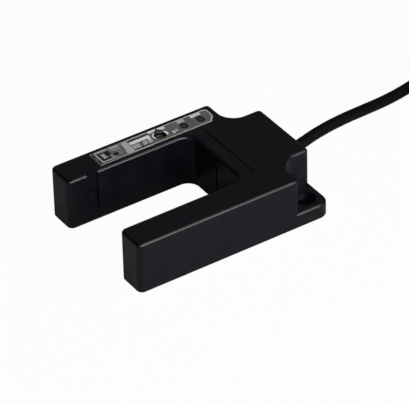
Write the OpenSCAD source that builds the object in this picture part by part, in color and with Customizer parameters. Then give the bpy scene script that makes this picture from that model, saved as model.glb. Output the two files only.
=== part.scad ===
// Fork sensor: a U-shaped housing that sends a light beam across its gap.
// The origin is the middle of the bottom face. X runs across the fork,
// the arm tips point to -Y, the cable leaves at +Y and Z is up. Millimetres.

/* [Fork] */
// Clear width between the arms
gap_w = 30; // [24:1:40]
// Depth of the gap, from the arm tips to its rear wall
gap_depth = 46.3; // [40:0.1:47]
// Width of each arm
arm_w = 11; // [10.5:0.5:13]
// Length of each arm's outer side, from its tip to the ear
arm_l = 60.4; // [60:0.1:66]
// Height of the housing
body_h = 18.6; // [18:0.1:22]
// Width of the block between the ears, where the cable leaves
block_w = 27.8; // [25:0.1:29]

/* [Ears] */
// Length of the ears along the body
ear_l = 12.2; // [12:0.1:15]
// Thickness of the ears
ear_t = 5.4; // [4:0.1:7]
// Diameter of the fixing holes, clear of an M4 screw
hole_d = 4.4; // [3.4:0.1:4.6]
// Diameter of the sunk seat for the screw head, round each fixing hole
head_d = 7.6; // [7:0.1:8]
// Depth of the sunk seat
head_depth = 2; // [1:0.1:3]
// Distance between the fixing holes
hole_spacing = 40; // [39:0.5:41]
// Radius of the hollow that clears the screw head
scallop_r = 6.2; // [5:0.1:7]
// Radius of the ears' free corners
ear_r = 4; // [2:0.5:5]

/* [Shell] */
// Thickness of the side walls
wall = 1.8; // [1.4:0.1:2]
// Thickness of the top wall
top_wall = 1.8; // [1.5:0.1:2.2]
// Radius of the upright corners at the arm tips
tip_r = 2; // [1.5:0.1:4]
// Radius of the gap's rear corners
gap_r = 4.2; // [3:0.1:6]
// Radius of the block's and the arm ends' upright corners
corner_r = 1.4; // [1:0.1:2]
// Radius of the rounding along the top edges
edge_r = 1; // [0.4:0.1:1]
// Radius of the rounding along the bottom edges
foot_r = 0.4; // [0.2:0.1:0.5]
// Thickness of the bottom cover
cover_t = 1.6; // [1.2:0.1:2]
// Width of the housing's rim around the bottom cover
rim_w = 0.9; // [0.7:0.1:1.1]
// Play around the bottom cover
cover_play = 0.1; // [0.05:0.05:0.2]

/* [Optics] */
// Distance of the light beam from the arm tips
beam_y = 9.1; // [8:0.1:12]
// Distance of the light beam below the top face
beam_drop = 9.3; // [9.25:0.05:10]
// Width of the window channels in the arms' inner faces
channel_w = 4.2; // [4:0.1:6]
// Depth of the window channels
channel_d = 0.7; // [0.4:0.1:0.9]
// Height of each window channel above and below the beam
channel_reach = 5; // [3:0.1:6]
// Diameter of the lenses
lens_d = 3.4; // [2.5:0.1:3.8]
// Thickness of the lenses' inner flange
lens_flange_t = 0.8; // [0.6:0.1:1]
// Width of the step between a lens and its flange
lens_step = 0.6; // [0.4:0.1:0.7]
// Play around the lenses, on the radius
lens_play = 0.05; // [0.03:0.01:0.1]

/* [Controls] */
// Distance of the controls' line from the arm's outer side
control_inset = 6; // [5.5:0.1:7]
// Distance of the rear indicator from the arm's rear end
indicator_end = 6.9; // [5:0.1:8]
// Distance between the two indicators
indicator_pitch = 6.3; // [5:0.1:7]
// Distance between the sensitivity adjuster and the front indicator
adjuster_pitch = 9.2; // [7:0.1:11]
// Diameter of the adjuster's turning head
adjuster_d = 3.2; // [2.6:0.1:3.4]
// Play around the adjuster's head, on the radius
adjuster_play = 0.45; // [0.2:0.05:0.5]
// Depth of the adjuster's head below the top face
adjuster_sink = 0.8; // [0.3:0.1:0.9]
// Diameter of the adjuster's stem
stem_d = 2; // [1.5:0.1:2.2]
// Length of the adjuster's stem inside its base
stem_l = 2; // [1.5:0.1:2.4]
// Play of the stem in its base, on the radius
stem_play = 0.05; // [0.02:0.01:0.08]
// Width of the screwdriver slot
slot_w = 0.7; // [0.5:0.1:0.9]
// Depth of the screwdriver slot
slot_depth = 0.8; // [0.5:0.1:1]
// Diameter of the indicator lenses
indicator_d = 2.4; // [1.6:0.1:2.6]
// Play around the indicator lenses, on the radius
indicator_play = 0.05; // [0.03:0.01:0.1]
// Height of the indicator lenses' inner flange
indicator_flange_t = 0.8; // [0.5:0.1:1]
// Width of the step between an indicator lens and its flange
indicator_step = 0.5; // [0.3:0.1:0.6]

/* [Label] */
// Distance of the label from the arm tips
label_y = 13.5; // [12:0.5:18]
// Distance of the label from the arm's rear end
label_end = 2.2; // [1.3:0.1:3]
// Width of the label
label_w = 7.1; // [6.8:0.1:8]
// Distance of the label from the arm's outer side
label_inset = 2; // [1.5:0.05:2.5]
// Thickness of the label
label_t = 0.3; // [0.2:0.05:0.5]
// Play around the label in its seat
label_play = 0.1; // [0.05:0.05:0.2]
// Depth of the label's seat in the top face
label_seat = 0.2; // [0.1:0.05:0.3]
// Size of the cut across the label's inner rear corner
label_cut = 2.3; // [1:0.1:3]
// Radius of the label's outer rear corner
label_r = 1; // [0.4:0.1:2]

/* [Electronics] */
// Thickness of the circuit board
board_t = 1.2; // [0.8:0.1:1.6]
// Space between the board's top and the ceiling of the housing
board_drop = 3.7; // [3.6:0.1:4.2]
// Play between the board's edge and the walls
board_play = 0.4; // [0.2:0.1:0.6]
// Diameter of the posts that hold the board
post_d = 2.8; // [2:0.1:3.4]
// Distance of the front posts from the arm tips
front_post_y = 24; // [20:1:30]
// Distance of the rear posts from the rear face
rear_post_y = 6; // [5:0.5:7]
// Distance of the rear posts from the middle
rear_post_x = 9; // [8:0.5:9.5]
// Distance of the chips from the gap's rear wall
chip_row = 9; // [8:0.5:10]
// Distance of the rear resistors from the gap's rear wall
resistor_row = 15; // [14:0.5:16]
// Distance between the rear resistors
resistor_pitch = 3; // [2:0.5:4]
// Distance of the first resistor on the near arm from the arm tips
arm_resistor_y = 34; // [30:0.5:38]
// Distance between the resistors on the near arm
arm_resistor_pitch = 4; // [3:0.5:5]
// Side of the adjuster's base
base_w = 4.6; // [4:0.1:5]
// Space between the adjuster's base and the ceiling
base_gap = 0.3; // [0.2:0.1:0.5]
// Height of the indicators' light sources
chip_led_h = 0.8; // [0.6:0.1:1]
// Space between an indicator's light source and its lens
chip_led_gap = 0.3; // [0.2:0.1:0.5]
// Width of the emitter's and the receiver's package along the arm
package_w = 4; // [3:0.1:4.6]
// Depth of the emitter's and the receiver's package
package_d = 2.4; // [2:0.1:2.6]
// Reach of the package below the beam
package_drop = 2.3; // [2:0.1:2.6]
// Height of the package's dome
package_dome = 0.4; // [0.2:0.1:0.5]
// Space between a lens and the package's dome
package_gap = 0.3; // [0.2:0.1:0.5]

/* [Cable] */
// Diameter of the cable
cable_d = 3.8; // [3:0.1:4]
// Distance of the cable's axis below the top face
cable_drop = 9.3; // [9:0.05:9.5]
// Play between the cable and the grommet, on the radius
cable_play = 0.1; // [0.05:0.05:0.2]
// Diameter of the grommet in the rear wall
grommet_d = 5.6; // [5.2:0.1:6]
// Diameter of the grommet's flanges
flange_d = 7.4; // [6.8:0.1:7.6]
// Thickness of the grommet's flanges
flange_t = 1; // [0.8:0.1:1.2]
// Length of the grommet's tapered nose outside its flange
nose_l = 2.2; // [1:0.1:3]
// Length of sheathed cable inside the rear face
cable_inside = 6.5; // [5:0.1:8]
// Diameter of the conductors
conductor_d = 1.1; // [0.8:0.1:1.1]
// Straight length of the conductors in front of the sheath
conductor_run = 2; // [1:0.1:3]

/* [Coil] */
// Radius of the coil at the middle of its turns
coil_r = 21.6; // [20:0.1:24]
// Turns beside each other in the coil
coil_columns = 5; // [4:1:5]
// Turns on top of each other in the coil
coil_rows = 3; // [2:1:4]
// Width of the tie round the coil
tie_w = 3; // [2:0.5:5]
// Thickness of the tie
tie_t = 1; // [0.8:0.1:1.4]
// Play between the tie and the coil
tie_play = 0.2; // [0.1:0.05:0.4]
// Length of the free leads at the far end of the cable
lead_l = 16; // [10:1:18]

/* [Hidden] */
$fn = 48;

// Overall plan, measured from the origin
body_w = gap_w + 2 * arm_w;
body_l = arm_l + ear_l;
half_w = body_w / 2;
tip_y = -body_l / 2;
rear_y = body_l / 2;
ear_y = tip_y + arm_l;
hole_y = ear_y + ear_l / 2;
gap_end_y = tip_y + gap_depth;
arm_x = gap_w / 2 + arm_w / 2;
// How far a cutter passes the face that it opens
past = 1;
// How far the cutters of neighbouring edges reach into each other, too little to show
hair = 0.00000001;
// Smallest upright corner inside the shell
least_r = 0.2;

// Heights of the ceiling and the board
ceiling_z = body_h - top_wall;
board_top = ceiling_z - board_drop;
board_z = board_top - board_t;
beam_z = body_h - beam_drop;
cable_z = body_h - cable_drop;

// Places of the controls on the far arm
control_x = -half_w + control_inset;
rear_indicator_at = [control_x, ear_y - indicator_end];
front_indicator_at = rear_indicator_at - [0, indicator_pitch];
adjuster_at = front_indicator_at - [0, adjuster_pitch];
label_l = arm_l - label_y - label_end;
label_top = body_h - label_seat + label_t;
// Play between a control's hole in the label and its hole in the housing
label_hole_play = 0.15;

// Marks on the moulding: the line across the top and the seam in the gap
mark_w = 0.5;
mark_depth = 0.3;
mark_back = 5;
mark_margin = 1.3;
mark_l = gap_w - 2 * mark_margin;
seam_w = 0.9;
seam_z = [4, 14.5];

// Posts between the ceiling, the board and the cover
post_places = [
    [arm_x, tip_y + front_post_y], [-arm_x, tip_y + front_post_y],
    [rear_post_x, rear_y - rear_post_y], [-rear_post_x, rear_y - rear_post_y]
];

// Lens seats in the arms' inner walls, measured out from the middle
lens_face_x = gap_w / 2 + channel_d;
lens_back_x = gap_w / 2 + wall;
lens_flange_x = lens_back_x + lens_flange_t;
package_x = lens_flange_x + package_gap + package_dome;

// Chips on the board: place of the middle, then width, length and height
amplifier = [[0, gap_end_y + chip_row], [5, 4, 1.6]];
transistor = [[7.5, gap_end_y + chip_row], [1.4, 3, 1.1]];
capacitor = [[-8, gap_end_y + chip_row], [4.2, 4.2, 1]];
capacitor_can = [3.6, 3.2];
resistor_size = [1.2, 2, 0.5];
resistor_places = [
    for (i = [-1:1]) [i * resistor_pitch, gap_end_y + resistor_row],
    for (i = [0:2]) [arm_x, tip_y + arm_resistor_y + i * arm_resistor_pitch]
];

// Conductors side by side in the sheath
conductor_pitch = conductor_d + 0.08;
sheath_end_y = rear_y - cable_inside;
saddle = [5, 2.4];

// Route of the cable's axis behind the rear face, from inside the wall to the coil
cable_points = [
    [0, -cable_inside, cable_z], [0, 0, cable_z], [0, 3.35, cable_z], [-1, 7.75, 9.3],
    [-2.4, 12.75, 9.2], [-3.5, 17.25, 9], [-4.6, 21.75, 8.6], [-5.6, 25.75, 8.05],
    [-6.6, 29.75, 7.4], [-7.7, 34.25, 6.55], [-8.9, 38.75, 5.6], [-11.3, 47.75, 3.8],
    [-13.9, 56.75, 2.4], [-16.4, 65.75, 1.9], [-19, 75.75, 2.2], [-21.9, 85.05, 2.8]
];
cable_route = [for (p = cable_points) p + [0, rear_y, 0]];
cable_sides = 8;
coil_at = [6, rear_y + 92.25];
coil_w = coil_columns * cable_d;
coil_h = coil_rows * cable_d;
tie_angle = 60;
lead_angle = 210;
lead_fan = 9;

// Plan of the housing moved inwards by w: corner points with their radii,
// anticlockwise from the near arm's outer tip
function shell_plan(w) = let (
    out_x = half_w - w, in_x = gap_w / 2 + w, block_x = block_w / 2 - w,
    front = tip_y + w, back = rear_y - w, ear = ear_y - w, gap_back = gap_end_y + w,
    tip = max(tip_r - w, least_r), corner = max(corner_r - w, least_r),
    hollow = scallop_r + w, gap_corner = gap_r + w
) [
    [out_x, front, tip], [out_x, ear, corner], [block_x, ear, hollow], [block_x, back, corner],
    [-block_x, back, corner], [-block_x, ear, hollow], [-out_x, ear, corner], [-out_x, front, tip],
    [-in_x, front, tip], [-in_x, gap_back, gap_corner], [in_x, gap_back, gap_corner], [in_x, front, tip]
];

// Plan of the housing's foot, ears included
function foot_plan() = [
    [half_w, tip_y, tip_r], [half_w, rear_y, ear_r], [-half_w, rear_y, ear_r], [-half_w, tip_y, tip_r],
    [-gap_w / 2, tip_y, tip_r], [-gap_w / 2, gap_end_y, gap_r],
    [gap_w / 2, gap_end_y, gap_r], [gap_w / 2, tip_y, tip_r]
];

// Corner i of a plan: its point, the ways to its neighbours and its centre
function at(plan, i) = let (n = len(plan), p = plan[(i + n) % n]) [p.x, p.y];
function way(from, to) = (to - from) / norm(to - from);
function to_last(plan, i) = way(at(plan, i), at(plan, i - 1));
function to_next(plan, i) = way(at(plan, i), at(plan, i + 1));
function corner_centre(plan, i) = at(plan, i) + plan[i].z * (to_last(plan, i) + to_next(plan, i));
function turns_left(plan, i) = cross(-to_last(plan, i), to_next(plan, i)) > 0;

// The piece between a corner's point and its arc
module corner_piece(plan, i) {
    p = at(plan, i);
    r = plan[i].z;
    a = to_last(plan, i);
    b = to_next(plan, i);
    difference() {
        polygon([p, p + r * a, p + r * (a + b), p + r * b]);
        translate(corner_centre(plan, i)) circle(r);
    }
}

// A plan with its outer corners rounded and its inner corners filleted
module rounded_plan(plan) {
    last = len(plan) - 1;
    difference() {
        union() {
            polygon([for (p = plan) [p.x, p.y]]);
            for (i = [0:last]) if (!turns_left(plan, i)) corner_piece(plan, i);
        }
        for (i = [0:last]) if (turns_left(plan, i)) corner_piece(plan, i);
    }
}

// Section of what a rounding takes off an edge at the origin, material towards +x
module edge_section(r, z) {
    difference() {
        translate([-past, z - r]) square([r + past, r + past]);
        translate([r, z - r]) circle(r);
    }
}

// What a rounding of radius r takes off the top edge of a plan at height z
module edge_cutter(plan, z, r) {
    last = len(plan) - 1;
    for (i = [0:last]) {
        j = (i + 1) % len(plan);
        from = at(plan, i) + (plan[i].z - hair) * to_next(plan, i);
        to = at(plan, j) + (plan[j].z - hair) * to_last(plan, j);
        run = to - from;
        translate(from) rotate([0, 0, atan2(run.y, run.x)]) rotate([90, 0, 90])
            linear_extrude(norm(run)) edge_section(r, z);
        outer = turns_left(plan, i);
        start = outer ? -to_next(plan, i) : -to_last(plan, i);
        reach = plan[i].z;
        translate(corner_centre(plan, i)) rotate([0, 0, atan2(start.y, start.x)])
            rotate_extrude(angle = 90) intersection() {
                translate([reach, 0]) mirror([outer ? 1 : 0, 0]) edge_section(r, z);
                square([reach + 2 * past, z + 2 * past]);
            }
    }
}

// A plan raised to height z with its top edge rounded
module soft_prism(plan, z, r) {
    difference() {
        linear_extrude(z) rounded_plan(plan);
        edge_cutter(plan, z, r);
    }
}

// The ears reach into the body so that they are one moulding with it
function ear_plan() = let (sink = wall) [
    [half_w, ear_y - corner_r - sink, least_r], [half_w, rear_y, ear_r],
    [block_w / 2 - corner_r - sink, rear_y, least_r],
    [block_w / 2 - corner_r - sink, ear_y - corner_r - sink, least_r]
];

module at_ears() {
    children();
    mirror([1, 0, 0]) children();
}

// A round hole down through the top face at a control
module control_hole(place, r) {
    translate([place.x, place.y, ceiling_z - past]) cylinder(r = r, h = top_wall + 2 * past);
}

// Shape of the label, or of its seat with play round it
module label_shape(play) {
    low = [-half_w + label_inset - play, tip_y + label_y - play];
    high = low + [label_w + 2 * play, label_l + 2 * play];
    cut = label_cut + (2 - sqrt(2)) * play;
    difference() {
        rounded_plan([
            [low.x, low.y, least_r], [high.x, low.y, least_r],
            [high.x, high.y, least_r], [low.x, high.y, label_r + play]
        ]);
        translate(high) polygon([[-cut, 0], [0, -cut], [cut, 0], [0, cut]]);
    }
}

// A window channel and its lens bore in the arm at +X
module window_cut(top_z) {
    bottom_z = beam_z - channel_reach;
    translate([gap_w / 2 - past, tip_y + beam_y - channel_w / 2, bottom_z])
        cube([channel_d + past, channel_w, top_z - bottom_z]);
    translate([lens_face_x - past, tip_y + beam_y, beam_z]) rotate([0, 90, 0])
        cylinder(d = lens_d + 2 * lens_play, h = wall + past);
}

module housing() {
    color([0.07, 0.07, 0.08]) difference() {
        union() {
            soft_prism(shell_plan(0), body_h, edge_r);
            at_ears() soft_prism(ear_plan(), ear_t, edge_r);
        }
        translate([0, 0, past]) mirror([0, 0, 1]) edge_cutter(foot_plan(), past, foot_r);
        difference() {
            translate([0, 0, -past]) linear_extrude(ceiling_z + past) rounded_plan(shell_plan(wall));
            for (p = post_places)
                translate([p.x, p.y, board_top]) cylinder(d = post_d, h = board_drop + past);
        }
        translate([0, 0, -past]) linear_extrude(cover_t + past) rounded_plan(shell_plan(rim_w));
        at_ears() translate([hole_spacing / 2, hole_y, -past]) cylinder(d = hole_d, h = ear_t + 2 * past);
        at_ears() translate([hole_spacing / 2, hole_y, ear_t - head_depth]) cylinder(d = head_d, h = head_depth + past);
        translate([0, 0, body_h - label_seat]) linear_extrude(past) label_shape(label_play);
        control_hole(adjuster_at, adjuster_d / 2 + adjuster_play);
        control_hole(front_indicator_at, indicator_d / 2 + indicator_play);
        control_hole(rear_indicator_at, indicator_d / 2 + indicator_play);
        window_cut(beam_z + channel_reach);
        mirror([1, 0, 0]) window_cut(body_h + past);
        translate([0, rear_y - wall - past, cable_z]) rotate([-90, 0, 0])
            cylinder(d = grommet_d, h = wall + 2 * past);
        translate([-mark_l / 2, gap_end_y + mark_back - mark_w / 2, body_h - mark_depth])
            cube([mark_l, mark_w, past]);
        translate([-seam_w / 2, gap_end_y - past, seam_z[0]])
            cube([seam_w, mark_depth + past, seam_z[1] - seam_z[0]]);
    }
}

// The cover closes the bottom. Its posts press the board against the ceiling's posts,
// and its saddle carries the cable
module bottom_cover() {
    saddle_top = cable_z - cable_d / 2 - cable_play;
    color([0.09, 0.09, 0.1]) union() {
        linear_extrude(cover_t) rounded_plan(shell_plan(rim_w + cover_play));
        for (p = post_places) translate([p.x, p.y, 0]) cylinder(d = post_d, h = board_z);
        translate([-saddle.x / 2, sheath_end_y, 0]) cube([saddle.x, saddle.y, saddle_top]);
    }
}

module label_plate() {
    color([0.72, 0.74, 0.71]) translate([0, 0, body_h - label_seat]) difference() {
        linear_extrude(label_t) label_shape(0);
        translate([adjuster_at.x, adjuster_at.y, -past])
            cylinder(r = adjuster_d / 2 + adjuster_play + label_hole_play, h = label_t + 2 * past);
        for (p = [front_indicator_at, rear_indicator_at]) translate([p.x, p.y, -past])
            cylinder(r = indicator_d / 2 + indicator_play + label_hole_play, h = label_t + 2 * past);
    }
}

// The adjuster turns on its stem in the base
module adjuster_screw() {
    base_top = ceiling_z - base_gap;
    head_top = body_h - adjuster_sink;
    color([0.72, 0.45, 0.25]) translate([adjuster_at.x, adjuster_at.y, 0]) difference() {
        union() {
            translate([0, 0, base_top]) cylinder(d = adjuster_d, h = head_top - base_top);
            translate([0, 0, base_top - stem_l]) cylinder(d = stem_d, h = stem_l + past / 2);
        }
        translate([-slot_w / 2, -adjuster_d, head_top - slot_depth])
            cube([slot_w, 2 * adjuster_d, slot_depth + past]);
    }
}

module adjuster_base() {
    base_top = ceiling_z - base_gap;
    socket_depth = stem_l + stem_play;
    color([0.15, 0.2, 0.45]) translate([adjuster_at.x, adjuster_at.y, 0]) difference() {
        translate([-base_w / 2, -base_w / 2, board_top]) cube([base_w, base_w, base_top - board_top]);
        translate([0, 0, base_top - socket_depth])
            cylinder(r = stem_d / 2 + stem_play, h = socket_depth + past);
    }
}

// A light pipe whose flange seats under the ceiling
module indicator_lens(place) {
    bottom = board_top + chip_led_h + chip_led_gap;
    translate([place.x, place.y, 0]) union() {
        translate([0, 0, bottom]) cylinder(d = indicator_d, h = label_top - bottom);
        translate([0, 0, ceiling_z - indicator_flange_t])
            cylinder(d = indicator_d + 2 * indicator_step, h = indicator_flange_t);
    }
}
module front_indicator_lens() { color([0.2, 0.28, 0.2]) indicator_lens(front_indicator_at); }
module rear_indicator_lens() { color([0.3, 0.16, 0.14]) indicator_lens(rear_indicator_at); }

module indicator_led(place) {
    size = [1.25, 2, chip_led_h];
    translate([place.x - size.x / 2, place.y - size.y / 2, board_top]) cube(size);
}
module front_indicator_led() { color([0.85, 0.9, 0.8]) indicator_led(front_indicator_at); }
module rear_indicator_led() { color([0.9, 0.8, 0.78]) indicator_led(rear_indicator_at); }

// A stepped lens in the arm at +X, its flange against the inner side of the wall
module beam_lens() {
    r = lens_d / 2;
    translate([lens_face_x, tip_y + beam_y, beam_z]) rotate([0, 90, 0]) union() {
        cylinder(r = r, h = lens_flange_x - lens_face_x);
        translate([0, 0, lens_back_x - lens_face_x]) cylinder(r = r + lens_step, h = lens_flange_t);
    }
}
module emitter_lens() { color([0.12, 0.03, 0.05]) beam_lens(); }
module receiver_lens() { color([0.12, 0.03, 0.05]) mirror([1, 0, 0]) beam_lens(); }

// A side-looking package that hangs under the board, its dome towards the lens
module beam_package() {
    bottom = beam_z - package_drop;
    dome_r = package_w / 4;
    translate([package_x, tip_y + beam_y, 0]) union() {
        translate([0, -package_w / 2, bottom]) cube([package_d, package_w, board_z - bottom]);
        translate([0, 0, beam_z]) rotate([0, -90, 0]) cylinder(r = dome_r, h = package_dome);
    }
}
module emitter_led() { color([0.75, 0.8, 0.9]) beam_package(); }
module receiver_diode() { color([0.1, 0.1, 0.14]) mirror([1, 0, 0]) beam_package(); }

// The board's rear edge is notched round the grommet's inner flange
module circuit_board() {
    notch_w = flange_d + 2 * board_play;
    notch_y = rear_y - wall - flange_t - board_play;
    color([0.1, 0.35, 0.18]) translate([0, 0, board_z]) linear_extrude(board_t) difference() {
        rounded_plan(shell_plan(wall + board_play));
        translate([-notch_w / 2, notch_y]) square([notch_w, rear_y - notch_y]);
    }
}

// A block on the board, from a place and a size
module on_board(place, size) {
    translate([place.x - size.x / 2, place.y - size.y / 2, board_top]) cube(size);
}
module amplifier_chip() { color([0.12, 0.12, 0.13]) on_board(amplifier[0], amplifier[1]); }
module output_transistor() { color([0.12, 0.12, 0.13]) on_board(transistor[0], transistor[1]); }
module smoothing_capacitor() {
    color([0.7, 0.7, 0.72]) union() {
        on_board(capacitor[0], capacitor[1]);
        translate([capacitor[0].x, capacitor[0].y, board_top]) cylinder(d = capacitor_can[0], h = capacitor_can[1]);
    }
}
module chip_resistors() {
    color([0.1, 0.1, 0.1]) for (p = resistor_places) on_board(p, resistor_size);
}

// The grommet grips the rear wall between two flanges and tapers off outside
module cable_grommet() {
    bore = cable_d / 2 + cable_play;
    neck = grommet_d / 2;
    flange = flange_d / 2;
    inside = -wall - flange_t;
    color([0.1, 0.1, 0.1]) translate([0, rear_y, cable_z]) rotate([-90, 0, 0]) rotate_extrude()
        polygon([
            [bore, inside], [flange, inside], [flange, -wall], [neck, -wall], [neck, 0],
            [flange, 0], [flange, flange_t], [neck, flange_t], [bore + 0.5, flange_t + nose_l],
            [bore, flange_t + nose_l]
        ]);
}

// A conductor from the end of the sheath, turned up to the underside of the board
module conductor(x) {
    bend_r = board_z - cable_z;
    bend_y = sheath_end_y - conductor_run;
    translate([x, sheath_end_y, cable_z]) rotate([90, 0, 0]) cylinder(d = conductor_d, h = conductor_run);
    translate([x, bend_y, board_z]) rotate([0, 90, 0]) rotate([0, 0, -90]) rotate_extrude(angle = 90)
        translate([bend_r, 0]) circle(d = conductor_d);
}
module brown_conductor() { color([0.4, 0.22, 0.1]) conductor(-conductor_pitch); }
module black_conductor() { color([0.08, 0.08, 0.08]) conductor(0); }
module blue_conductor() { color([0.1, 0.25, 0.65]) conductor(conductor_pitch); }

// One ring of the cable round point i of its route
function ring(route, i) = let (
    last = len(route) - 1,
    along = way(route[max(i - 1, 0)], route[min(i + 1, last)]),
    side = way([0, 0, 0], cross(along, [0, 0, 1])),
    up = cross(side, along)
) [
    for (k = [0:cable_sides - 1]) let (a = 360 * (k + 0.5) / cable_sides)
        route[i] + cable_d / 2 * (cos(a) * side + sin(a) * up)
];

module cable() {
    n = cable_sides;
    last = len(cable_route) - 1;
    points = [for (i = [0:last]) each ring(cable_route, i)];
    sides = [
        for (i = [0:last - 1], k = [0:n - 1])
            [i * n + k, (i + 1) * n + k, (i + 1) * n + (k + 1) % n, i * n + (k + 1) % n]
    ];
    front = [for (k = [0:n - 1]) k];
    end = [for (k = [0:n - 1]) last * n + n - 1 - k];
    color([0.16, 0.16, 0.17]) polyhedron(points, concat(sides, [front, end]));
}

// The rest of the cable wound up, lying on its tie
module cable_coil() {
    color([0.16, 0.16, 0.17]) translate([coil_at.x, coil_at.y, tie_t]) rotate_extrude()
        translate([coil_r - coil_w / 2, 0]) square([coil_w, coil_h]);
}

module coil_tie() {
    inner = [coil_w + 2 * tie_play, coil_h + tie_play];
    color([0.1, 0.1, 0.1]) translate([coil_at.x, coil_at.y, 0]) rotate([0, 0, tie_angle])
        translate([coil_r - inner.x / 2 - tie_t, tie_w / 2, 0]) rotate([90, 0, 0]) linear_extrude(tie_w)
            difference() {
                square([inner.x + 2 * tie_t, inner.y + 2 * tie_t]);
                translate([tie_t, tie_t]) square(inner);
            }
}

// A free lead that lies on top of the coil
module lead(turn) {
    rest = tie_t + coil_h + conductor_d / 2;
    translate([coil_at.x, coil_at.y, rest]) rotate([0, 0, lead_angle])
        translate([coil_r + conductor_pitch * turn, 0, 0])
            rotate([90, 0, lead_fan * turn]) cylinder(d = conductor_d, h = lead_l);
}
module brown_lead() { color([0.4, 0.22, 0.1]) lead(-1); }
module black_lead() { color([0.08, 0.08, 0.08]) lead(0); }
module blue_lead() { color([0.1, 0.25, 0.65]) lead(1); }

housing();
bottom_cover();
label_plate();
adjuster_screw();
adjuster_base();
front_indicator_lens();
rear_indicator_lens();
front_indicator_led();
rear_indicator_led();
emitter_lens();
receiver_lens();
emitter_led();
receiver_diode();
circuit_board();
amplifier_chip();
output_transistor();
smoothing_capacitor();
chip_resistors();
cable_grommet();
brown_conductor();
black_conductor();
blue_conductor();
cable();
cable_coil();
coil_tie();
brown_lead();
black_lead();
blue_lead();
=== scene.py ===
"""Looks of the fork sensor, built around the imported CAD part. Metres, in the CAD frame."""

import math

import bmesh
import bpy
from mathutils import Matrix, Vector


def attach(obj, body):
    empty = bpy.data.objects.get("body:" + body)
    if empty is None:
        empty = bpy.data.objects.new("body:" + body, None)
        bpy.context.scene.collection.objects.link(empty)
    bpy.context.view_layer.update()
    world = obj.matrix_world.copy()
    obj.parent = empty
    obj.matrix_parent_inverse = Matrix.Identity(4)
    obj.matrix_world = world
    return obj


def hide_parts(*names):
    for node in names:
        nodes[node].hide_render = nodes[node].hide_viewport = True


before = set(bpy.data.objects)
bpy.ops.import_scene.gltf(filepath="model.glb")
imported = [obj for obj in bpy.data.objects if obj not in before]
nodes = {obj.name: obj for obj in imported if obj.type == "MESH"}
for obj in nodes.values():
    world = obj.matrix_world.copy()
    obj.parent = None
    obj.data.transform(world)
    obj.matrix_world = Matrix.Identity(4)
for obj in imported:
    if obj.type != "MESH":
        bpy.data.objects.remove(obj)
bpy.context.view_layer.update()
MM = 0.001

# Camera, fitted to the photograph
CAMERA_RIGHT = Vector((0.554325, 0.832014, -0.021835))
CAMERA_UP = Vector((-0.481888, 0.342225, 0.806639))
CAMERA_BACK = Vector((0.678607, -0.436618, 0.590641))
CAMERA_PLACE = Vector((0.793231, -0.505276, 0.693207))
CAMERA_LENS = 321.148
CAMERA_SENSOR = 36.0

# Materials: the noise, the part of its range that is spread over a tone or a gloss, and its scales
NOISE_DETAIL = 3.0
FINE_DETAIL = 2.0
NOISE_RANGE = (0.3, 0.7)
SLOW_NOISE = 140.0
FILM_NOISE = 260.0
CLEAR_NOISE = 600.0
METAL_NOISE = 900.0
FILM_GRAIN = 1800.0
METAL_MARKS = 3000.0
MARKS_STRETCH = (1.0, 0.15, 1.0)

# Materials: bumps, the radius of a lens's pale middle in millimetres, and the wires' tones
FINE_DEPTH = 0.00003
METAL_BUMP = 0.15
FILM_BUMP = 0.05
LENS_GLOW = 1.3
LENS_GLOW_RANGE = (0.25, 0.8)
WIRES = {
    "brown": ((0.060, 0.024, 0.010), (0.085, 0.034, 0.015)),
    "black": ((0.008, 0.008, 0.008), (0.013, 0.013, 0.013)),
    "blue": ((0.010, 0.045, 0.210), (0.016, 0.062, 0.270)),
}
WIRE_ROUGH = (0.35, 0.45)

# Label in millimetres, from part.scad: x across the fork, s along the arm from its tip
BODY_TIP = -36.3
LABEL_TOP = 18.7
ADJUSTER_AT = (-20.0, 38.0)
INDICATORS_AT = ((-20.0, 47.2), (-20.0, 53.5))

# Print: thickness of a layer, tones of the film and the inks, and where the grey field begins; the
# white and dark inks also give painted highlights and painted shade round the adjuster and the
# indicator lenses
INK = 0.015
FILM_SILVER = ((0.232, 0.220, 0.218), (0.300, 0.286, 0.281))
FILM_GREY = ((0.120, 0.137, 0.124), (0.158, 0.175, 0.159))
FILM_ROUGH = (0.42, 0.5)
FIELD_SLANT = 0.44
FIELD_START = -0.0101
INKS_AND_PAINTED_LIGHT = {
    "panel": ((0.125, 0.126, 0.125), (0.155, 0.156, 0.155)),
    "mid": ((0.110, 0.102, 0.104), (0.140, 0.130, 0.133)),
    "dark": ((0.010, 0.010, 0.010), (0.022, 0.021, 0.019)),
    "soft": ((0.460, 0.448, 0.450), (0.540, 0.527, 0.530)),
    "pale": ((0.520, 0.495, 0.505), (0.610, 0.585, 0.595)),
    "silver": ((0.520, 0.520, 0.510), (0.620, 0.620, 0.608)),
    "white": ((0.890, 0.896, 0.892), (0.930, 0.934, 0.930)),
}
INK_ROUGH = (0.5, 0.6)
ARC_STEPS = 10
CRESCENT_STEPS = 14

# Cable in millimetres: the route of part.scad, then the coil, as one curve
CABLE_D = 3.8
ROUTE = [
    (0, 29.8, 9.3), (0, 36.3, 9.3), (0, 39.65, 9.3), (-1, 44.05, 9.3), (-2.4, 49.05, 9.2),
    (-3.5, 53.55, 9), (-4.6, 58.05, 8.6), (-5.6, 62.05, 8.05), (-6.6, 66.05, 7.4),
    (-7.7, 70.55, 6.55), (-8.9, 75.05, 5.6), (-11.3, 84.05, 3.8), (-13.9, 93.05, 2.4),
    (-16.4, 102.05, 1.9), (-19, 112.05, 2.2), (-21.9, 121.35, 2.8),
]
TUBE_ROUNDNESS = 6
TUBE_STEPS = 8
COIL_AT = (6.0, 128.55)
COIL_R = 21.6
COIL_COLUMNS = 5
COIL_ROWS = 3
COIL_FLOOR = 1.0
COIL_POINT_ANGLE = 15.0

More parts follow.
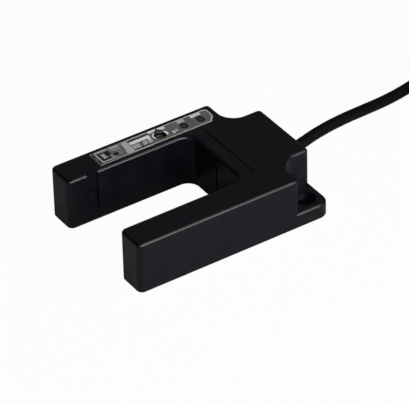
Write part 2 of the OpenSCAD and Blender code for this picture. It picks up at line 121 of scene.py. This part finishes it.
# Where the winding moves on: degrees wound, then the step in columns (inwards) and in rows
COIL_STEPS = [
    (290, 1, 0), (650, 1, 0), (1010, 1, 0), (1370, 1, 0), (1660, 0, 1),
    (1950, -1, 0), (2310, -1, 0), (2670, -1, 0), (3030, -1, 0), (3320, 0, 1),
    (3610, 1, 0), (3970, 1, 0), (4330, 1, 0), (4690, 1, 0), (4850, 0, 1), (4935, -2, 0),
]
COIL_STEP_LENGTH = 85.0

# Free leads in millimetres; LEAD_FALL: the way along a lead, and the part of its lift left there
LEAD_ANGLE = 210.0
LEAD_FAN = 9.0
LEAD_L = 16.0
LEAD_D = 1.1
LEAD_PITCH = 1.18
LEAD_PINCH = 0.1
LEAD_HIDDEN = 2.0
LEAD_FALL = ((0.0, 1.0), (3.0, 0.7), (6.5, 0.15), (9.0, 0.0), (12.0, 0.0))
CORE_START = 11.0
CORE_D = 0.6

# Tie round the coil, in millimetres
TIE_ANGLE = 60.0
TIE_W = 3.0
TIE_T = 1.0
TIE_IN = (19.4, 11.6)
TIE_CORNER = 2.0
TIE_CORNER_STEPS = 8
TIE_SHARP = 40.0

# Stage: floor and room tones, and how much of the white floor camera and mirror rays see
FLOOR_HALF = 3.0
FLOOR_TONE = 0.33
FLOOR_SEEN = 0.97
FLOOR_MIRRORED = 0.02
ROOM_LIGHT = 0.04

# Lamps: direction from the origin, direction of the longer side, distance, size, power
LAMPS = {
    "key_light": ((0.905, 0.010, 0.425), (0.0, 1.0, 0.0), 0.59, (0.66, 0.3), 5.1),
    "top_light": ((-0.68, 0.44, 0.59), (0.0, 1.0, 0.0), 0.9, (0.8, 0.8), 0.12),
    "edge_light": ((0.30, 0.44, 0.85), (-0.94, 0.0, 0.33), 0.8, (0.4, 0.12), 0.62),
}


def add(name, data):
    """A new object in the scene."""
    item = bpy.data.objects.new(name, data)
    bpy.context.scene.collection.objects.link(item)
    return item


def aim(right, up, back, place):
    """A placing matrix from three directions and a point."""
    return Matrix.Translation(place) @ Matrix((right, up, back)).transposed().to_4x4()


def make_camera():
    """The photograph's camera."""
    data = bpy.data.cameras.new("camera")
    data.lens = CAMERA_LENS
    data.sensor_width = CAMERA_SENSOR
    camera = add("camera", data)
    camera.matrix_world = aim(CAMERA_RIGHT, CAMERA_UP, CAMERA_BACK, CAMERA_PLACE)
    bpy.context.scene.camera = camera


# Materials: each one is a procedural node tree
class Tree:
    """A node tree, with short ways to add to it."""

    def __init__(self, owner):
        owner.use_nodes = True
        self.nodes = owner.node_tree.nodes
        self.links = owner.node_tree.links

    def node(self, kind, **values):
        node = self.nodes.new(kind)
        for key, value in values.items():
            setattr(node, key, value)
        return node

    def link(self, source, target):
        self.links.new(source, target)

    def math(self, operation, *sources):
        """A Math node: a number is set on its socket, and an output is linked to it."""
        node = self.node("ShaderNodeMath", operation=operation)
        for socket, source in zip(node.inputs, sources):
            if isinstance(source, float):
                socket.default_value = source
            else:
                self.link(source, socket)
        return node.outputs["Value"]


class Paint(Tree):
    """A material with a Principled shader, fed from the part's own coordinates."""

    def __init__(self, name):
        self.material = bpy.data.materials.new(name)
        super().__init__(self.material)
        self.shader = self.nodes["Principled BSDF"]
        self.place = self.node("ShaderNodeTexCoord").outputs["Object"]

    def set(self, **values):
        for key, value in values.items():
            self.shader.inputs[key.replace("_", " ")].default_value = value

    def noise(self, scale, detail=NOISE_DETAIL, stretch=None):
        node = self.node("ShaderNodeTexNoise")
        node.inputs["Scale"].default_value = scale
        node.inputs["Detail"].default_value = detail
        place = self.place
        if stretch:
            mapping = self.node("ShaderNodeMapping")
            mapping.inputs["Scale"].default_value = stretch
            self.link(place, mapping.inputs["Vector"])
            place = mapping.outputs["Vector"]
        self.link(place, node.inputs["Vector"])
        return node.outputs["Fac"]

    def ramp(self, source, low, high, stops=NOISE_RANGE):
        node = self.node("ShaderNodeValToRGB")
        for element, at, colour in zip(node.color_ramp.elements, stops, (low, high)):
            element.position = at
            element.color = (*colour, 1.0)
        self.link(source, node.inputs["Fac"])
        return node.outputs["Color"]

    def spread(self, source, low, high):
        node = self.node("ShaderNodeMapRange")
        limits = zip(("From Min", "From Max", "To Min", "To Max"), (*NOISE_RANGE, low, high))
        for key, value in limits:
            node.inputs[key].default_value = value
        self.link(source, node.inputs["Value"])
        return node.outputs["Result"]

    def bump(self, source, strength, depth):
        node = self.node("ShaderNodeBump")
        node.inputs["Strength"].default_value = strength
        node.inputs["Distance"].default_value = depth
        self.link(source, node.inputs["Height"])
        self.link(node.outputs["Normal"], self.shader.inputs["Normal"])

    def colour(self, source):
        self.link(source, self.shader.inputs["Base Color"])

    def roughness(self, source, rough):
        self.link(self.spread(source, *rough), self.shader.inputs["Roughness"])


def moulded(name, low, high, rough, grain=2200.0, bump=0.12, depth=0.00006, specular=0.5):
    """Moulded plastic or rubber: slow changes of tone and gloss, and a fine grain."""
    paint = Paint(name)
    slow = paint.noise(SLOW_NOISE)
    paint.colour(paint.ramp(slow, low, high))
    paint.roughness(slow, rough)
    paint.bump(paint.noise(grain, FINE_DETAIL), bump, depth)
    paint.set(Specular_IOR_Level=specular)
    return paint.material


def metal(name, low, high, rough):
    """Plated metal with fine turning marks."""
    paint = Paint(name)
    paint.colour(paint.ramp(paint.noise(METAL_NOISE), low, high))
    marks = paint.noise(METAL_MARKS, FINE_DETAIL, MARKS_STRETCH)
    paint.roughness(marks, rough)
    paint.bump(marks, METAL_BUMP, FINE_DEPTH)
    paint.set(Metallic=1.0)
    return paint.material


def clear(name, low, high, rough=(0.12, 0.2), specular=0.5, axis=None):
    """Tinted clear plastic, dark with nothing lit behind it, paler on its axis if it has one."""
    paint = Paint(name)
    flow = paint.noise(CLEAR_NOISE)
    if axis:
        away = paint.node("ShaderNodeVectorMath", operation="MULTIPLY_ADD")
        away.inputs[1].default_value = (1.0, 1.0, 0.0)
        away.inputs[2].default_value = (-axis[0] * MM, -(BODY_TIP + axis[1]) * MM, 0.0)
        paint.link(paint.place, away.inputs[0])
        reach = paint.node("ShaderNodeVectorMath", operation="LENGTH")
        paint.link(away.outputs["Vector"], reach.inputs[0])
        glow = paint.node("ShaderNodeMapRange")
        glow.inputs["From Max"].default_value = LENS_GLOW * MM
        paint.link(reach.outputs["Value"], glow.inputs["Value"])
        paint.colour(paint.ramp(glow.outputs["Result"], high, low, LENS_GLOW_RANGE))
    else:
        paint.colour(paint.ramp(flow, low, high))
    paint.roughness(flow, rough)
    paint.set(Specular_IOR_Level=specular, Coat_Weight=0.4, Coat_Roughness=0.08)
    return paint.material


def film(name):
    """Label film: printed silver, with a grey field at the controls' end."""
    paint = Paint(name)
    tone = paint.noise(FILM_NOISE)
    silver = paint.ramp(tone, *FILM_SILVER)
    grey = paint.ramp(tone, *FILM_GREY)
    split = paint.node("ShaderNodeSeparateXYZ")
    paint.link(paint.place, split.inputs["Vector"])
    slant = paint.math("MULTIPLY_ADD", split.outputs["X"], FIELD_SLANT, split.outputs["Y"])
    mix = paint.node("ShaderNodeMix", data_type="RGBA")
    paint.link(paint.math("GREATER_THAN", slant, FIELD_START), mix.inputs["Factor"])
    paint.link(silver, mix.inputs["A"])
    paint.link(grey, mix.inputs["B"])
    paint.colour(mix.outputs["Result"])
    paint.roughness(tone, FILM_ROUGH)
    paint.bump(paint.noise(FILM_GRAIN, FINE_DETAIL), FILM_BUMP, FINE_DEPTH)
    paint.set(Specular_IOR_Level=0.3)
    return paint.material


# Meshes
def band(work, first, second):
    """Faces between two closed loops of corners."""
    for i in range(len(first)):
        j = (i + 1) % len(first)
        work.faces.new((first[i], first[j], second[j], second[i]))


def close_mesh(name, work, material):
    """The finished mesh of a closed shape, its faces turned outwards."""
    bmesh.ops.recalc_face_normals(work, faces=work.faces)
    mesh = bpy.data.meshes.new(name)
    work.to_mesh(mesh)
    work.free()
    mesh.materials.append(material)
    return mesh


# Cable
def ease(t):
    """From 0 to 1 without a jerk, and no further."""
    return 0.5 - 0.5 * math.cos(math.pi * min(max(t, 0.0), 1.0))


def coil_points():
    """Points of the winding, clockwise from the end of the route to the free leads."""
    start = math.degrees(math.atan2(ROUTE[-1][1] - COIL_AT[1], ROUTE[-1][0] - COIL_AT[0])) % 360.0
    whole = COIL_STEPS[-1][0] + COIL_STEP_LENGTH
    last = whole + (start - LEAD_ANGLE - whole) % 360.0
    count = round(last / COIL_POINT_ANGLE)
    points = []
    for i in range(1, count + 1):
        wound = last * i / count
        column = sum(step * ease((wound - at) / COIL_STEP_LENGTH) for at, step, _ in COIL_STEPS)
        level = sum(step * ease((wound - at) / COIL_STEP_LENGTH) for at, _, step in COIL_STEPS)
        radius = COIL_R + ((COIL_COLUMNS - 1) / 2.0 - column) * CABLE_D
        angle = math.radians(start - wound)
        height = COIL_FLOOR + CABLE_D * (level + 0.5)
        x, y = COIL_AT[0] + radius * math.cos(angle), COIL_AT[1] + radius * math.sin(angle)
        points.append((x, y, height))
    return points


def tube(name, points, diameter, material):
    """A round curve through points given in millimetres."""
    data = bpy.data.curves.new(name, "CURVE")
    data.dimensions = "3D"
    data.bevel_depth = diameter / 2.0 * MM
    data.bevel_resolution = TUBE_ROUNDNESS
    data.resolution_u = TUBE_STEPS
    data.use_fill_caps = True
    spline = data.splines.new("BEZIER")
    spline.bezier_points.add(len(points) - 1)
    for point, at in zip(spline.bezier_points, points):
        point.co = Vector(at) * MM
        point.handle_left_type = point.handle_right_type = "AUTO"
    data.materials.append(material)
    piece = add(name, data)
    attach(piece, "body")
    return piece


def make_tie():
    """The band round the coil, laid close round the corners of its turns."""
    angle = math.radians(TIE_ANGLE)
    out = Vector((math.cos(angle), math.sin(angle), 0.0))
    side = Vector((-math.sin(angle), math.cos(angle), 0.0)) * (TIE_W / 2.0)
    up = Vector((0.0, 0.0, 1.0))
    middle = Vector((*COIL_AT, TIE_T + TIE_IN[1] / 2.0)) + out * COIL_R
    to_corner = [size / 2.0 - TIE_CORNER for size in TIE_IN]
    work = bmesh.new()
    rings = []
    for quarter, (u, v) in enumerate(((1, 1), (-1, 1), (-1, -1), (1, -1))):
        corner = middle + out * (u * to_corner[0]) + up * (v * to_corner[1])
        for i in range(TIE_CORNER_STEPS + 1):
            turn = math.radians(90.0 * (quarter + i / TIE_CORNER_STEPS))
            way = out * math.cos(turn) + up * math.sin(turn)
            inner, outer = corner + way * TIE_CORNER, corner + way * (TIE_CORNER + TIE_T)
            spots = (inner - side, outer - side, outer + side, inner + side)
            rings.append([work.verts.new(spot * MM) for spot in spots])
    for first, second in zip(rings, rings[1:] + rings[:1]):
        band(work, first, second)
    nylon = moulded("tie_nylon", (0.010, 0.010, 0.010), (0.018, 0.018, 0.018), (0.35, 0.45))
    mesh = close_mesh("coil_tie_band", work, nylon)
    mesh.polygons.foreach_set("use_smooth", [True] * len(mesh.polygons))
    mesh.set_sharp_from_angle(angle=math.radians(TIE_SHARP))
    tie = add("coil_tie_band", mesh)
    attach(tie, "body")
    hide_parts("coil_tie")
    return tie


def make_cable():
    """The cable with its coil, tie and free leads."""
    jacket = moulded(
        "cable_jacket", (0.0016, 0.0016, 0.0020), (0.0028, 0.0028, 0.0034), (0.46, 0.56),
        grain=1500.0, bump=0.2, depth=0.00005, specular=0.14,
    )
    copper = metal("bare_copper", (0.55, 0.28, 0.16), (0.72, 0.40, 0.24), (0.25, 0.4))
    cable = tube("cable_line", ROUTE + coil_points(), CABLE_D, jacket)
    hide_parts("cable", "cable_coil")
    ends = []
    angle = math.radians(LEAD_ANGLE)
    out = Vector((math.cos(angle), math.sin(angle), 0.0))
    along = Vector((math.sin(angle), -math.cos(angle), 0.0))
    rest = COIL_FLOOR + COIL_ROWS * CABLE_D + LEAD_D / 2.0
    lift = Vector((0.0, 0.0, CABLE_D / 2.0 - LEAD_D / 2.0))
    for turn, (name, (low, high)) in zip((-1, 0, 1), WIRES.items()):
        base = Vector((*COIL_AT, rest)) + out * (COIL_R + LEAD_PITCH * turn)
        fan = math.radians(LEAD_FAN * turn)
        way = along * math.cos(fan) + out * math.sin(fan)
        hidden = base - along * LEAD_HIDDEN + lift - out * (LEAD_PITCH * LEAD_PINCH * turn)
        spots = [hidden] + [base + way * far + lift * part for far, part in LEAD_FALL]
        skin = moulded(name + "_skin", low, high, WIRE_ROUGH, specular=0.4)
        lead = tube(name + "_lead_line", spots, LEAD_D, skin)
        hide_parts(name + "_lead")
        bare = [base + way * CORE_START, base + way * LEAD_L]
        core = tube(name + "_lead_core", bare, CORE_D, copper)
        ends += [lead, core]
    make_tie()


# Floor, backdrop and light
def make_floor():
    """A paper floor that takes the shadow: camera rays see it nearly all white, and mirror rays see
    a little of that white.
    """
    mesh = bpy.data.meshes.new("floor")
    corners = [(x * FLOOR_HALF, y * FLOOR_HALF, 0) for x, y in ((-1, -1), (1, -1), (1, 1), (-1, 1))]
    mesh.from_pydata(corners, [], [(0, 1, 2, 3)])
    floor = add("floor", mesh)
    paper = bpy.data.materials.new("paper")
    tree = Tree(paper)
    tree.nodes.remove(tree.nodes["Principled BSDF"])
    diffuse = tree.node("ShaderNodeBsdfDiffuse")
    diffuse.inputs["Color"].default_value = (FLOOR_TONE, FLOOR_TONE, FLOOR_TONE, 1.0)
    white = tree.node("ShaderNodeEmission")
    white.inputs["Strength"].default_value = 1.0
    path = tree.node("ShaderNodeLightPath").outputs
    seen = tree.math("MULTIPLY", path["Is Camera Ray"], FLOOR_SEEN)
    mirrored = tree.math("MAXIMUM", path["Is Glossy Ray"], path["Is Transmission Ray"])
    mix = tree.node("ShaderNodeMixShader")
    tree.link(tree.math("MULTIPLY_ADD", mirrored, FLOOR_MIRRORED, seen), mix.inputs["Fac"])
    tree.link(diffuse.outputs["BSDF"], mix.inputs[1])
    tree.link(white.outputs["Emission"], mix.inputs[2])
    tree.link(mix.outputs["Shader"], tree.nodes["Material Output"].inputs["Surface"])
    mesh.materials.append(paper)


def make_room():
    """A dim room that the camera sees as white."""
    world = bpy.data.worlds.new("studio")
    bpy.context.scene.world = world
    tree = Tree(world)
    room = tree.nodes["Background"]
    room.inputs["Color"].default_value = (1.0, 1.0, 1.0, 1.0)
    path = tree.node("ShaderNodeLightPath")
    level = tree.node("ShaderNodeMapRange")
    level.inputs["To Min"].default_value = ROOM_LIGHT
    level.inputs["To Max"].default_value = 1.0
    tree.link(path.outputs["Is Camera Ray"], level.inputs["Value"])
    tree.link(level.outputs["Result"], room.inputs["Strength"])


def make_lamp(name, direction, along, distance, size, power):
    """A soft box that looks at the origin, its longer side laid along a direction."""
    data = bpy.data.lights.new(name, "AREA")
    data.shape = "RECTANGLE"
    data.size, data.size_y = size
    data.energy = power
    back = Vector(direction).normalized()
    side = back.cross(Vector(along)).normalized()
    add(name, data).matrix_world = aim(side.cross(back), side, back, back * distance)


# Print on the label: plain fields and bars, no lettering, with painted highlights and painted shade
# round the adjuster and the indicator lenses
def print_piece(name, layer, shapes, material):
    """Flat shapes in a layer on the label, each a loop of corners (x, s)."""
    work = bmesh.new()
    for shape in shapes:
        top, low = (
            [work.verts.new(Vector((x, BODY_TIP + s, height)) * MM) for x, s in shape]
            for height in (LABEL_TOP + layer * INK, LABEL_TOP - INK)
        )
        work.faces.new(top)
        work.faces.new(low[::-1])
        band(work, low, top)
    piece = add(name, close_mesh(name, work, material))
    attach(piece, "body")


def bar(x, s, w, l):
    """A bar w wide across the label and l long, from its middle."""
    low, high = (x - w / 2, s - l / 2), (x + w / 2, s + l / 2)
    return [low, (high[0], low[1]), high, (low[0], high[1])]


def row(x, start, w, lengths, gap):
    """Bars one after another along the label, like a line of print."""
    bars = []
    for length in lengths:
        bars.append(bar(x, start + length / 2, w, length))
        start += length + gap
    return bars


def line(points, w):
    """A line of width w through points, with mitred corners."""
    sides = ([], [])
    for i, point in enumerate(points):
        here = Vector(point)
        ways = []
        if i > 0:
            ways.append((here - Vector(points[i - 1])).normalized())
        if i < len(points) - 1:
            ways.append((Vector(points[i + 1]) - here).normalized())
        way = sum(ways, Vector((0.0, 0.0))).normalized()
        across = Vector((-way.y, way.x)) * (w / 2 / way.dot(ways[0]))
        sides[0].append(tuple(here + across))
        sides[1].append(tuple(here - across))
    return sides[0] + sides[1][::-1]


def spot_round(centre, radius, degrees):
    """A point on a circle, at 0 degrees across the fork and at 90 towards the cable."""
    angle = math.radians(degrees)
    return centre[0] + radius * math.cos(angle), centre[1] + radius * math.sin(angle)


def arc(centre, radius, w, start, end):
    """A ring's part of width w between two angles."""
    turns = [start + (end - start) * i / ARC_STEPS for i in range(ARC_STEPS + 1)]
    return line([spot_round(centre, radius, turn) for turn in turns], w)


def crescent(centre, inner, outer, middle, reach=90.0):
    """A crescent round a hole, widest in its middle and down to nothing at its ends: painted shade
    of the wall round a bore or a lens.
    """
    far, near = [], []
    for i in range(1, CRESCENT_STEPS):
        part = 2.0 * i / CRESCENT_STEPS - 1.0
        radius = inner + (outer - inner) * math.cos(math.pi / 2.0 * part)
        far.append(spot_round(centre, radius, middle + reach * part))
        near.append(spot_round(centre, inner, middle + reach * part))
    return far + near[::-1]


def make_print():
    """The print's pieces, one for each ink; the white piece also holds painted highlights and the
    dark piece painted shade.
    """
    ink = {}
    for key, tones in INKS_AND_PAINTED_LIGHT.items():
        # The white and dark inks also paint highlights and shade round the adjuster and the
        # indicator lenses.
        ink[key] = moulded(key + "_ink", *tones, INK_ROUGH, bump=0.05, specular=0.2)
    print_piece("label_panel", 1, [
        [(-23.3, 27.1), (-17.5, 26.9), (-17.5, 34.0), (-23.3, 36.0)],
    ], ink["panel"])
    print_piece("label_mid_print", 1, [
        bar(-20.4, 14.15, 6.6, 1.3), bar(-17.6, 17.4, 0.8, 5.0), bar(-18.2, 22.3, 0.8, 3.6),
        bar(-20.6, 24.2, 3.6, 0.6), bar(-20.6, 20.1, 4.0, 0.4), bar(-18.6, 17.0, 1.2, 4.2),
        *row(-22.3, 20.4, 0.5, [1.2, 0.7, 0.9], 0.3), *row(-21.0, 20.6, 0.6, [1.0, 1.6], 0.3),
        *row(-19.6, 22.3, 0.6, [0.6, 0.6], 0.3),
    ], ink["mid"])
    print_piece("label_pale_print", 2, [
        [(-23.7, 25.2), (-17.3, 24.1), (-17.3, 26.8), (-23.7, 27.0)],
        line([(-23.5, 19.4), (-23.5, 15.1), (-18.0, 15.1), (-18.0, 19.9)], 0.35),
        bar(-23.0, 22.2, 0.9, 3.4), bar(-20.6, 17.0, 2.0, 0.7),
    ], ink["pale"])
    print_piece("label_soft_print", 2, [
        bar(-19.2, 28.5, 2.1, 2.8), bar(-21.6, 22.2, 0.4, 2.4),
        line([(-23.7, 27.2), (-23.7, 34.9)], 0.45),
        [(-20.3, 31.5), (-20.3, 33.1), (-18.2, 32.3), (-18.2, 30.7)],
        [(-19.9, 33.3), (-19.9, 34.8), (-18.3, 34.2), (-18.3, 32.7)],
    ], ink["soft"])
    print_piece("label_silver_print", 2, [
        line([(-17.12, 26.9), (-17.12, 55.55)], 0.24),
        line([(-17.15, 55.75), (-19.3, 57.55), (-21.25, 57.88)], 0.42),
        line([(-21.3, 57.93), (-22.9, 57.93), (-23.75, 57.08), (-23.75, 41.6)], 0.32),
        *row(-22.75, 46.3, 1.6, [0.7, 0.9, 0.7], 0.10), bar(-19.4, 43.9, 1.2, 0.7),
    ], ink["silver"])
    print_piece("label_white_print_and_painted_highlights", 2, [
        bar(-21.5, 31.05, 1.45, 7.5), bar(-20.35, 34.0, 0.8, 0.9), bar(-19.0, 42.7, 1.4, 0.6),
        [
            (-23.9, 35.2), (-22.8, 35.2), (-22.75, 36.9),
            (-22.95, 37.9), (-23.3, 38.2), (-23.9, 38.3),
        ],
        [(-23.8, 38.9), (-23.1, 39.1), (-22.5, 39.9), (-22.3, 41.5), (-23.8, 41.5)],
        *row(-22.9, 51.3, 1.34, [0.8, 0.6, 0.8, 0.5, 0.7], 0.10),
        # Painted highlights: the two white arcs round the adjuster's bore are glints on its rim,
        # one on the outer side towards the tip and one on the cable side.
        arc(ADJUSTER_AT, 2.34, 0.45, 209, 288), arc(ADJUSTER_AT, 2.5, 0.8, 66, 117),
    ], ink["white"])
    print_piece("label_dark_print_and_painted_shade", 2, [
        line([(-22.6, 15.85), (-18.75, 15.85), (-18.75, 18.7)], 0.75),
        bar(-22.35, 17.04, 0.5, 1.56), bar(-19.61, 18.45, 0.9, 0.5),
        bar(-22.2, 14.2, 1.6, 0.5), bar(-18.5, 14.3, 2.6, 0.55),
        bar(-21.35, 18.75, 2.5, 1.8), bar(-19.6, 21.05, 1.5, 1.7),
        *row(-21.0, 20.9, 0.35, [0.6, 0.5], 0.9),
        bar(-17.85, 29.9, 0.5, 5.9), bar(-22.9, 31.2, 0.5, 7.2),
        [(-20.8, 58.1), (-19.25, 57.8), (-18.85, 57.5), (-18.75, 57.65), (-19.2, 58.1)],
        # Painted shade: the dark crescent round the adjuster's bore is the shaded wall of the bore
        # on its outer side, and the dark crescents on both sides of each indicator lens are the
        # shade of the lens's recess.
        crescent(ADJUSTER_AT, 2.08, 3.05, 164.0, 44.0),
        *(crescent(spot, 1.24, 1.75, side) for spot in INDICATORS_AT for side in (0.0, 180.0)),
    ], ink["dark"])


def finish_nodes():
    """Materials of the CAD parts that show as they are."""
    looks = {
        "housing": moulded(
            "black_plastic", (0.0008, 0.0006, 0.0028), (0.0014, 0.0011, 0.0042), (0.28, 0.38),
            grain=2600.0, bump=0.10, depth=0.00004,
        ),
        "bottom_cover": moulded(
            "cover_plastic", (0.008, 0.008, 0.009), (0.012, 0.012, 0.013), (0.5, 0.6)
        ),
        "label_plate": film("label_film"),
        "adjuster_screw": metal(
            "adjuster_metal", (0.46, 0.29, 0.20), (0.62, 0.42, 0.31), (0.34, 0.48)
        ),
        "adjuster_base": moulded(
            "adjuster_plastic", (0.010, 0.020, 0.090), (0.014, 0.028, 0.120), (0.4, 0.5)
        ),
        "front_indicator_lens": clear(
            "green_lens", (0.010, 0.012, 0.010), (0.050, 0.060, 0.050),
            specular=0.3, axis=INDICATORS_AT[0],
        ),
        "rear_indicator_lens": clear(
            "red_lens", (0.012, 0.010, 0.009), (0.058, 0.054, 0.046),
            specular=0.3, axis=INDICATORS_AT[1],
        ),
        "emitter_lens": clear(
            "dark_lens", (0.0014, 0.0006, 0.0010), (0.0024, 0.0010, 0.0016), (0.30, 0.36)
        ),
        "circuit_board": moulded(
            "board_resist", (0.006, 0.050, 0.016), (0.010, 0.075, 0.024), (0.3, 0.4)
        ),
        "amplifier_chip": moulded(
            "chip_resin", (0.010, 0.010, 0.010), (0.016, 0.016, 0.016), (0.5, 0.6)
        ),
        "smoothing_capacitor": metal(
            "capacitor_can", (0.55, 0.55, 0.56), (0.66, 0.66, 0.68), (0.25, 0.4)
        ),
        "chip_resistors": moulded(
            "resistor_body", (0.010, 0.010, 0.012), (0.020, 0.020, 0.022), (0.3, 0.4)
        ),
        "front_indicator_led": clear("led_resin", (0.55, 0.55, 0.48), (0.68, 0.68, 0.60)),
        "emitter_led": clear("clear_resin", (0.35, 0.38, 0.44), (0.46, 0.50, 0.56)),
        "receiver_diode": clear("dark_resin", (0.010, 0.010, 0.016), (0.018, 0.018, 0.026)),
        "cable_grommet": moulded(
            "grommet_rubber", (0.008, 0.008, 0.008), (0.013, 0.013, 0.013), (0.5, 0.62)
        ),
    }
    for name, tones in WIRES.items():
        looks[name + "_conductor"] = moulded(name + "_core", *tones, WIRE_ROUGH)
    looks["receiver_lens"] = looks["emitter_lens"]
    looks["output_transistor"] = looks["amplifier_chip"]
    looks["rear_indicator_led"] = looks["front_indicator_led"]
    for name, material in looks.items():
        data = nodes[name].data
        data.materials.clear()
        data.materials.append(material)


make_camera()
make_cable()
make_floor()
make_room()
for lamp, values in LAMPS.items():
    make_lamp(lamp, *values)
make_print()
finish_nodes()

bpy.context.scene.view_settings.view_transform = "Standard"
